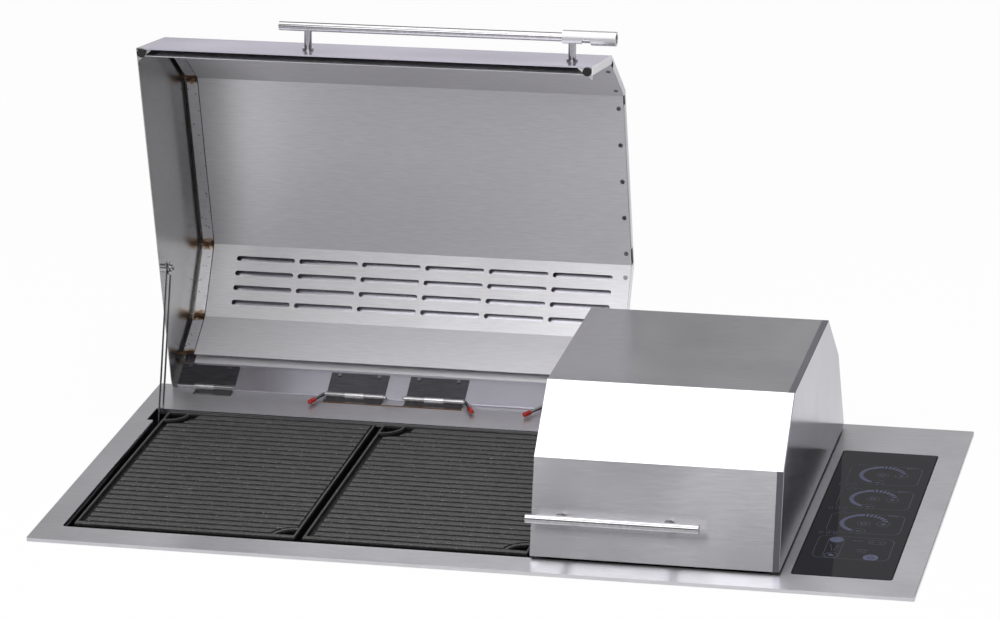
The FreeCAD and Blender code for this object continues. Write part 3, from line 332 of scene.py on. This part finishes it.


# The brushed sheets are probably one steel. Their tints, their roughness and the liner's metal
# share were set against the photograph, each for its own place at rest.
# Where these copies of one steel differ in tint, the paler and darker tints are painted light and
# painted shade.
MATERIALS = {
    "trim": brushed_sheet("brushed_stainless_trim", ALONG_X, "X", 0.31, ("#c4c3c7", "#d0cfd3")),
    "sheet": brushed_sheet("brushed_stainless_sheet", ALONG_X, "X", 0.235, ("#bbbabe", "#c7c6ca")),
    "sheet_open": brushed_sheet("brushed_stainless_open_lid", ALONG_X, "X", 0.2,
                                ("#cfcdd6", "#d9d7e0")),
    "end_upright": brushed_sheet("brushed_stainless_end", ALONG_Z, "Z", 0.17,
                                 ("#a3a1ab", "#aeacb6"), 0.1),
    "end_open": brushed_sheet("brushed_stainless_open_end", ALONG_Y, "Y", 0.22,
                              ("#9a9a98", "#a9a9a7")),
    "liner": brushed_sheet("brushed_stainless_liner", ALONG_X, "X", 0.42, ("#d3d2d5", "#dedde0"),
                           0.0, 0.8),
    "margin": polished_margin(),
    # A painted highlight: a bright line round every bend and rim.
    "edge_line_highlight": mottled("sheet_edge_highlight_paint", "#e2e2e2", "#f2f2f2", 3, 0.34, 1.0, 0.01),
    "bright": turned_bar(),
    "sleeve": blasted_sleeve(),
    "leaf": hinge_plate(),
    "strip": heat_tinted_strip(),
    "coated": coated_grate(),
    # The grates' rounded rib edges: a painted highlight.
    "painted_highlight": coating_with_edge_highlight(),
    # Dark grey dots down the liner's right edge.
    "rivet": mottled("rolled_rivet_steel", "#77767a", "#8e8d90", 3, 0.3, 1.0),
    # Dull dark grey with wide spangles, in the well.
    "zinc": mottled("galvanised_sheet", "#4b4d4e", "#5c5f60", 18, 0.5, 0.9),
    # The same coating, paler, on what hangs outside the tub.
    "outer_zinc": mottled("bright_galvanised_sheet", "#8f9496", "#a6aaab", 18, 0.45, 1.0),
    # Soft even grey.
    "tray": mottled("drawn_aluminium", "#8f9091", "#a3a4a4", 30, 0.35, 1.0),
    # Brown-black oxide with almost no shine.
    "sheath": mottled("oxidised_heater_sheath", "#3d3733", "#57504a", 8, 0.5, 0.6),
    "glass": black_glass(),
    # Dark green with a light gloss.
    "board": mottled("lacquered_circuit_board", "#0f4a2c", "#145c37", 12, 0.35),
    # Satin black.
    "black_plastic": mottled("moulded_black_plastic", "#1b1b1c", "#242425", 2, 0.5),
    # Warm off-white with a glaze.
    "ceramic": mottled("glazed_steatite", "#d8d2c4", "#e6e1d6", 10, 0.3),
    # Matt black.
    "rubber": mottled("black_silicone", "#111113", "#19191b", 2, 0.6),
    # Bright red with a soft shine.
    "red": mottled("dipped_red_vinyl", "#96160c", "#b02013", 3, 0.35),
    "ink": ceramic_ink("lavender_ceramic_ink", "#4d5068", "#595c76"),
    "faint_ink": ceramic_ink("thin_grey_ceramic_ink", "#3d3e4a", "#494a57"),
    # Brown and straw, rough.
    "weld": mottled("oxidised_weld_bead", "#5b3a22", "#8b6a4a", 2.5, 0.45, 0.9),
}

FINISHES = {
    "top_trim_frame": "trim", "flange_gasket": "rubber", "firebox_tub": "zinc",
    "control_bay": "zinc", "heat_shield": "zinc", "control_glass": "glass",
    "touch_board": "board", "power_board": "board", "power_relays": "black_plastic",
    "terminal_block": "ceramic", "cable_gland": "black_plastic",
    "mounting_clamps": "outer_zinc", "clamp_screws": "outer_zinc", "module_rails": "zinc",
    "element_sockets": "ceramic", "temperature_probes": "bright",
    "hinge_base_leaves": "bright", "hinge_pins_plain": "bright", "stay_pivots": "bright",
    "stay_arm_left": "leaf", "stay_arm_right": "leaf",
    "large_lid_shell": "sheet_open", "large_lid_side_wall": "end_open", "large_lid_liner": "liner",
    "large_lid_side_strip": "strip", "large_lid_end_frame": "liner",
    "large_lid_hinge_leaves": "leaf", "large_lid_screws": "bright", "large_lid_rivets": "rivet",
    "large_lid_bumpers": "rubber", "large_lid_stay_stud": "bright",
    "large_handle_bar": "bright", "large_handle_posts": "bright",
    "handle_coupling_sleeve": "sleeve",
    "small_lid_shell": "sheet", "small_lid_side_walls": "end_upright",
    "small_lid_liner": "liner", "small_lid_side_strips": "liner",
    "small_lid_hinge_leaves": "leaf", "small_lid_screws": "bright",
    "small_lid_bumpers": "rubber", "small_lid_stay_stud": "bright",
    "small_handle_bar": "bright", "small_handle_posts": "bright",
}
for number in (2, 3, 4):
    FINISHES["hinge_pin_%d" % number] = "bright"
    FINISHES["pin_cap_%d" % number] = "red"
for place in ("left", "centre", "right"):
    FINISHES["grate_" + place] = "coated"
    FINISHES["heating_element_" + place] = "sheath"
    FINISHES["drip_tray_" + place] = "tray"

# Sheet bends and cast edges, with the radius each is rounded to in mm.
ROUNDED = {
    "top_trim_frame": 1.1, "large_lid_shell": 1.1, "small_lid_shell": 1.1,
    "large_lid_side_wall": 1.1, "small_lid_side_walls": 1.1, "large_lid_liner": 1.0,
    "control_glass": 1.0,
    "grate_left": 0.9, "grate_centre": 0.9, "grate_right": 0.9,
    "stay_arm_left": 0.5, "stay_arm_right": 0.5,
}
# A corner is rounded where it bends outward by this much and both its faces are wide for the
# radius. Strips of surface narrower than the edge width are sheet edges, rims and bends.
CORNER_DEG = 35
WIDE_IN_RADII = 2.0
BEND_STEPS = 3
EDGE_WIDTH = 2.5
# Edge finishes besides the sheets' painted highlight: the glass keeps its own, the grates take a
# painted highlight of their coating.
EDGE_FINISH = {"control_glass": "glass", "grate_left": "painted_highlight", "grate_centre": "painted_highlight",
               "grate_right": "painted_highlight"}
FOLDED_ENDS = ("large_lid_side_wall", "small_lid_side_walls")


def finish_frame():
    for name, finish in FINISHES.items():
        for slot in nodes[name].material_slots:
            slot.material = MATERIALS[finish]


def place_piece(mesh, name, body, slot, *finishes):
    """The bmesh as an object that rides on a body."""
    data = bpy.data.meshes.new(name)
    mesh.to_mesh(data)
    mesh.free()
    if "custom_normal" in data.attributes:
        data.attributes.remove(data.attributes["custom_normal"])
    data.shade_flat()
    data.materials.clear()
    for finish in finishes:
        data.materials.append(MATERIALS[finish])
    made = bpy.data.objects.new(name, data)
    bpy.context.collection.objects.link(made)
    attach(made, body)
    return made


def mean_width(face):
    """The width of a long strip of surface, also where it runs round corners."""
    return 2 * face.calc_area() / face.calc_perimeter()


def sharp_edges(mesh, least):
    """Outward corners whose narrower face is at least so many mm wide."""
    picked = []
    for edge in mesh.edges:
        if (len(edge.link_faces) != 2
                or edge.calc_face_angle_signed(0) < math.radians(CORNER_DEG)):
            continue
        if any(all(abs(v.co.x - x * MM) < 0.1 * MM for v in edge.verts) for x in SEAMS):
            continue
        width = min(mean_width(face) for face in edge.link_faces)
        if width >= least * MM and edge.calc_length() > MM:
            picked.append(edge)
    return picked


def rounded_copy(name, radius):
    """A node's copy with its triangles merged into whole faces and its edges rounded."""
    mesh = bmesh.new()
    mesh.from_mesh(nodes[name].data)
    bmesh.ops.remove_doubles(mesh, verts=mesh.verts, dist=0.01 * MM)
    bmesh.ops.dissolve_limit(mesh, angle_limit=math.radians(0.5), verts=mesh.verts,
                             edges=mesh.edges)
    bmesh.ops.bevel(mesh, geom=sharp_edges(mesh, WIDE_IN_RADII * radius), offset=radius * MM,
                    segments=BEND_STEPS, profile=0.5, affect="EDGES", material=-1,
                    clamp_overlap=False)
    # Narrow faces, the rounded bends and rims, take the edge finish: a painted highlight, except
    # on the glass.
    for face in mesh.faces:
        if mean_width(face) < EDGE_WIDTH * MM:
            face.material_index = 1
        elif name in FOLDED_ENDS and abs(face.normal.x) < 0.5:
            face.material_index = 2
        else:
            face.material_index = 0
    made = place_piece(mesh, name + "_rounded", BODY_OF[name], SLOT_OF[name], FINISHES[name],
                       EDGE_FINISH.get(name, "edge_line_highlight"), "margin")
    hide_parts(name)


# Marks printed on the glass

def on_glass(x, y):
    return Matrix.Translation(Vector((x, y, GLASS_TOP + PRINT_LIFT)) * MM)


def filled_dot(mesh, x, y, radius):
    bmesh.ops.create_circle(mesh, cap_ends=True, radius=radius * MM,
                            segments=ROUND_MARK_SIDES, matrix=on_glass(x, y))


def outlined(mesh, faces, width):
    """Turns a flat face into a line round its edge."""
    bmesh.ops.inset_individual(mesh, faces=faces, thickness=width * MM, use_even_offset=True)
    bmesh.ops.delete(mesh, geom=faces, context="FACES_ONLY")


def ring_mark(mesh, x, y, radius, width=FINE_LINE):
    verts = bmesh.ops.create_circle(mesh, cap_ends=True, radius=radius * MM,
                                    segments=ROUND_MARK_SIDES,
                                    matrix=on_glass(x, y))["verts"]
    outlined(mesh, list(verts[0].link_faces), width)


def plate_mark(mesh, x, y, corner, width=FINE_LINE):
    """A rounded rectangle between two x and two y, as a line, or filled where width is 0."""
    middle = on_glass((x[0] + x[1]) / 2, (y[0] + y[1]) / 2)
    size = Matrix.Diagonal(((x[1] - x[0]) * MM, (y[1] - y[0]) * MM, 1, 1))
    verts = bmesh.ops.create_grid(mesh, x_segments=1, y_segments=1, size=0.5,
                                  matrix=middle @ size)["verts"]
    face = verts[0].link_faces[0]
    if corner:
        made = bmesh.ops.bevel(mesh, geom=verts, offset=corner * MM, segments=6, profile=0.5,
                               affect="VERTICES", material=-1)
        face = max(made["faces"] + list(made["verts"][0].link_faces), key=lambda f: f.calc_area())
    if width:
        outlined(mesh, [face], width)


def band_mark(mesh, x, y, inner, outer, start, end, steps):
    """Part of a ring between two angles in degrees, anticlockwise from +X."""
    way = Vector((math.cos(math.radians(start)), math.sin(math.radians(start)), 0))
    centre = Vector((x, y, GLASS_TOP + PRINT_LIFT)) * MM
    ends = [mesh.verts.new(centre + way * r * MM) for r in (inner, outer)]
    edge = mesh.edges.new(ends)
    bmesh.ops.spin(mesh, geom=ends + [edge], cent=centre, axis=(0, 0, 1), steps=steps,
                   angle=math.radians(end - start))


def bar_mark(mesh, x, y, length, width, turn=0.0):
    place = on_glass(x, y) @ Matrix.Rotation(math.radians(turn), 4, "Z")
    size = Matrix.Diagonal((length * MM, width * MM, 1, 1))
    bmesh.ops.create_grid(mesh, x_segments=1, y_segments=1, size=0.5, matrix=place @ size)


def power_mark(mesh, x, y, size):
    band_mark(mesh, x, y, size * 0.62, size * 0.85, 125, 415, 12)
    bar_mark(mesh, x, y + size * 0.6, size * 0.22, size * 0.8)


def dial_marks(bold, faint, x, y):
    """Heat ring with ticks, power, minus and plus, timer and display marks of one grate."""
    band_mark(bold, x, y, BAND_IN, BAND_OUT, 95, 245, 22)
    for k in range(TICKS):
        start = TICK_START + TICK_STEP * k
        band_mark(bold, x, y, BAND_IN + 1.0 - 0.4 * k, BAND_OUT + 1.0, start,
                  start + TICK_SPAN, 2)
    power_mark(bold, x, y, 5.2)
    ring_mark(faint, x, y, SIGN_R)
    minus, plus = (x - 2.8, y - 28.0), (x + 26.5, y + 1.0)
    for sign in (minus, plus):
        ring_mark(faint, *sign, SIGN_R)
        bar_mark(bold, *sign, *SIGN_ARM)
    bar_mark(bold, *plus, *reversed(SIGN_ARM))
    ring_mark(faint, x - 33, y + 32.6, 5.4)
    bar_mark(faint, x - 33, y + 34.0, 0.9, 4.0)
    bar_mark(faint, x - 31.6, y + 32.6, 3.4, 0.9)
    bar_mark(bold, x + 31.4, y + 31.3, 4.6, 1.0)
    bar_mark(bold, x + 31.4, y + 31.3, 1.0, 4.6)
    bar_mark(bold, x + 35.6, y + 31.3, 6.0, 0.9, 62)
    bar_mark(bold, x + 40.0, y + 31.3, 4.6, 1.0)
    plate_mark(faint, (x - 47.4, x + 53.0), (y - 35.6, y + 34.4), 12.0)
    for dx in (-51.7, -42.2, -32.7):
        plate_mark(faint, (x + dx - 2.6, x + dx + 2.6), (y - 44.3, y - 36.6), 1.6, 1.1)


def lock_marks(bold, faint):
    """The lower module: a lock slide, an enter key and the mains power key."""
    plate_mark(faint, (450.5, 553.2), (106.4, 183.9), 12.0)
    plate_mark(faint, (464.6, 486.4), (106.8, 181.4), 10.6)
    filled_dot(bold, 475.3, 170.7, 9.4)
    ring_mark(faint, 475.9, 117.4, 9.2)
    plate_mark(bold, (472.6, 479.2), (114.0, 118.6), 1.0, 0.0)
    band_mark(bold, 474.0, 118.6, 2.0, 3.2, 0, 180, 8)
    bar_mark(faint, 472.2, 143.0, 1.0, 22.0, 12)
    bar_mark(faint, 478.4, 143.0, 1.0, 22.0, -12)
    plate_mark(faint, (518.0, 542.0), (163.0, 177.0), 7.0)
    for dx in (-5.5, 5.5):
        bar_mark(bold, 529.2 + dx, 170.0, 5.0, 1.0)
    filled_dot(bold, 529.0, 116.4, 10.2)
    power_mark(faint, 529.0, 116.4, 5.6)
    bar_mark(faint, 504.0, 171.0, 14.0, 1.6)
    bar_mark(faint, 514.0, 141.0, 15.0, 1.6)
    bar_mark(faint, 514.0, 134.0, 12.0, 1.6)


def printed_marks():
    """Both inks, each as one closed thin piece."""
    bold, faint = bmesh.new(), bmesh.new()
    for x, y in DIALS:
        dial_marks(bold, faint, x, y)
    lock_marks(bold, faint)
    for name, finish, mesh in (("panel_bold_print", "ink", bold),
                               ("panel_fine_print", "faint_ink", faint)):
        bmesh.ops.remove_doubles(mesh, verts=mesh.verts, dist=0.001 * MM)
        raised = bmesh.ops.extrude_face_region(mesh, geom=mesh.faces[:], use_keep_orig=True)
        top = [e for e in raised["geom"] if isinstance(e, bmesh.types.BMVert)]
        bmesh.ops.translate(mesh, verts=top, vec=(0, 0, (PRINT_T - PRINT_LIFT) * MM))
        bmesh.ops.recalc_face_normals(mesh, faces=mesh.faces)
        place_piece(mesh, name, "grill_base", "black_glass", finish)


# Welds

def weld_row(name, body, start, end, count, size):
    """Overlapping lumps of weld metal along a line."""
    mesh = bmesh.new()
    start, end = Vector(start), Vector(end)
    for k in range(count):
        place = start.lerp(end, k / (count - 1))
        turn = Matrix.Rotation(0.7 * k, 4, "X")
        shape = Matrix.Diagonal((size * (1.25 + 0.3 * math.sin(2.3 * k)) * MM,
                                 size * (0.9 + 0.2 * math.cos(1.7 * k)) * MM,
                                 size * 0.7 * MM, 1))
        bmesh.ops.create_uvsphere(mesh, u_segments=8, v_segments=5, radius=1.0,
                                  matrix=Matrix.Translation(place * MM) @ turn @ shape)
    made = place_piece(mesh, name, body, "stainless", "weld")
    made.data.shade_smooth()


def welds():
    weld_row("hinge_strip_weld", "grill_base", (-345, 565.0, 5.4), (-137, 565.0, 5.4), 70, BEAD_R)
    for number, (y, z) in enumerate(LINER_BENDS, start=1):
        a, b = (opened(x, y, z) for x in (-579.0, -571.0))
        weld_row("strip_tack_%d" % number, "lid_large", a, b, 5, BEAD_R)


def studio():
    """White worktop with the cut-out that the tub hangs in, pale surroundings, soft lamps."""
    mesh = bmesh.new()
    bmesh.ops.create_grid(mesh, x_segments=3, y_segments=3, size=WORKTOP_REACH)
    for vert in mesh.verts:
        if abs(vert.co.x) < WORKTOP_REACH / 2:
            vert.co.x = math.copysign(CUT_OUT_X, vert.co.x)
        if abs(vert.co.y) < WORKTOP_REACH / 2:
            vert.co.y = CUT_OUT_Y[vert.co.y > 0]
        vert.co.z = WORKTOP_Z
    middle = [f for f in mesh.faces if f.calc_center_median().xy.length < CUT_OUT_X]
    bmesh.ops.delete(mesh, geom=middle, context="FACES")
    data = bpy.data.meshes.new("worktop_stage")
    mesh.to_mesh(data)
    mesh.free()
    worktop = bpy.data.objects.new("worktop_stage", data)
    bpy.context.collection.objects.link(worktop)
    material, tree, shader = new_material("matt_white_worktop", Roughness=0.9)
    shader.inputs["Base Color"].default_value = grey(0.8)
    glow = add(tree, "ShaderNodeEmission", {"Color": grey(1.0), "Strength": 1.0})
    path = add(tree, "ShaderNodeLightPath")
    seen = add(tree, "ShaderNodeMath", {0: path.outputs["Is Camera Ray"],
                                        1: path.outputs["Is Glossy Ray"]}, operation="ADD")
    seen = add(tree, "ShaderNodeMath", {0: seen.outputs[0],
                                        1: path.outputs["Is Transmission Ray"]},
               operation="ADD", use_clamp=True)
    share = add(tree, "ShaderNodeMath", {0: seen.outputs[0], 1: WORKTOP_WHITE},
                operation="MULTIPLY")
    mix = add(tree, "ShaderNodeMixShader", {0: share.outputs[0], 1: shader.outputs[0],
                                            2: glow.outputs[0]})
    out = tree.nodes["Material Output"]
    tree.links.new(mix.outputs[0], out.inputs["Surface"])
    data.materials.append(material)

    world = bpy.data.worlds.new("studio")
    bpy.context.scene.world = world
    world.use_nodes = True
    tree = world.node_tree
    way = add(tree, "ShaderNodeTexCoord").outputs["Generated"]
    parts = add(tree, "ShaderNodeSeparateXYZ", {0: way})
    # Pale at the horizon, dark above it behind the grill and grey in front, white overhead.
    # The stops are heights of a direction, from 0 level to 1 straight up.
    pale = (0.93, 0.90, 1.0, 1.0)
    behind = ramp(tree, parts.outputs["Z"], [(0.0, pale), (0.06, pale), (0.12, grey(0.08)),
                                             (0.22, grey(0.18)), (0.36, grey(0.34)),
                                             (0.55, grey(0.34)), (0.74, grey(0.6)),
                                             (0.86, grey(1.0))])
    before = ramp(tree, parts.outputs["Z"], [(0.0, pale), (0.03, pale), (0.1, grey(0.24)),
                                             (0.55, grey(0.22)), (0.74, grey(0.6)),
                                             (0.86, grey(1.0))])
    depth = add(tree, "ShaderNodeMapRange", {"Value": parts.outputs["Y"], "From Min": -0.25,
                                             "From Max": 0.25}).outputs["Result"]
    around = mixed(tree, depth, before, behind)
    tree.links.new(around, tree.nodes["Background"].inputs["Color"])

    def softbox(name, place, aim, size, power):
        light = bpy.data.lights.new(name, "AREA")
        light.shape = "RECTANGLE"
        light.size, light.size_y = size
        light.energy = power
        made = bpy.data.objects.new(name, light)
        made.location = place
        made.rotation_euler = (Vector(aim) - Vector(place)).to_track_quat("-Z", "Y").to_euler()
        bpy.context.collection.objects.link(made)

    softbox("overhead_softbox", (-0.3, 0.2, 2.8), (0, 0.3, 0), (2.6, 1.6), 30)
    softbox("front_softbox", (0.3, -2.5, 2.45), (0, 0.4, 0.1), (3.4, 1.4), 50)


def photo_camera():
    azimuth, elevation, roll = (math.radians(a) for a in
                                (CAMERA_AZIMUTH, CAMERA_ELEVATION, CAMERA_ROLL))
    back = Vector((math.sin(azimuth) * math.cos(elevation),
                   -math.cos(azimuth) * math.cos(elevation), math.sin(elevation)))
    right = Vector((math.cos(azimuth), math.sin(azimuth), 0))
    up = back.cross(right)
    right, up = (right * math.cos(roll) + up * math.sin(roll),
                 up * math.cos(roll) - right * math.sin(roll))
    camera = bpy.data.objects.new("camera", bpy.data.cameras.new("camera"))
    camera.data.lens = CAMERA_LENS
    camera.data.clip_end = 50
    axes = Matrix((right, up, back)).transposed().to_4x4()
    camera.matrix_world = Matrix.Translation(CAMERA_AIM + back * CAMERA_DISTANCE) @ axes
    bpy.context.collection.objects.link(camera)
    bpy.context.scene.camera = camera


bpy.context.scene.view_settings.view_transform = "Standard"
finish_frame()
for name, radius in ROUNDED.items():
    rounded_copy(name, radius)
printed_marks()
welds()
studio()
photo_camera()
